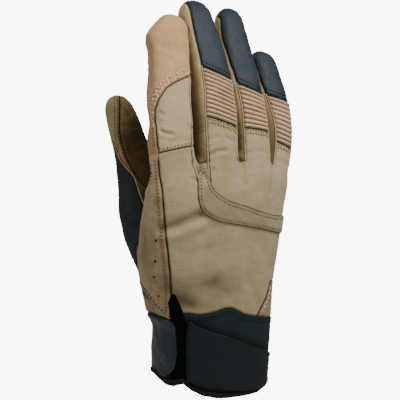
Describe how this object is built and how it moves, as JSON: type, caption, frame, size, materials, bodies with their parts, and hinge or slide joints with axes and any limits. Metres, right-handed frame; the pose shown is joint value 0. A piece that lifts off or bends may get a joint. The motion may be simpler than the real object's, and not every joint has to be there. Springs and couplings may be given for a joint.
{
  "type": "tactical glove",
  "caption": "Right-hand tactical glove with fabric back, ribbed knuckle panels, suede palm and strapped elastic cuff, held upright and hollow.",
  "frame": {"origin": "centre of the wrist opening, on the level of the cuff rim", "axes": "+Z along the forearm from the wrist opening to the fingertips, the back of the hand faces -Y, the palm +Y, the thumb is on the -X side"},
  "size_m": [0.1063, 0.1084, 0.2448],
  "materials": {
    "back_fabric": "fine woven, matte",
    "strip_suede": "suede",
    "palm_suede": "suede",
    "cap_suede": "suede",
    "rib_fabric": "padded and stitched",
    "navy_leather": "fine grain, satin",
    "dark_leather": "fine grain, satin",
    "wall_fabric": "fine knit, matte",
    "cuff_elastic": "smooth stretch fabric, matte",
    "grey_panel": "satin sheen",
    "black_trim": "folded binding"
  },
  "bodies": {
    "root": {"back_panel": "back_fabric", "side_strip": "strip_suede", "ulnar_corner": "palm_suede", "thumb_side": "dark_leather", "thumb_front": "wall_fabric", "index_back": "back_fabric", "index_cap": "cap_suede", "index_palm": "cap_suede", "middle_tip": "navy_leather", "middle_ribs": "rib_fabric", "middle_body": "wall_fabric", "ring_tip": "navy_leather", "ring_ribs": "rib_fabric", "ring_body": "wall_fabric", "little_tip": "navy_leather", "little_ribs": "rib_fabric", "little_body": "wall_fabric", "palm": "palm_suede", "thumb_base": "dark_leather", "cuff_wall": "cuff_elastic", "knuckle_band": "rib_fabric", "closure_strap": "cuff_elastic", "cuff_side_panel": "grey_panel", "cuff_gusset": "black_trim", "hem_binding": "black_trim"}
  },
  "joints": []
}
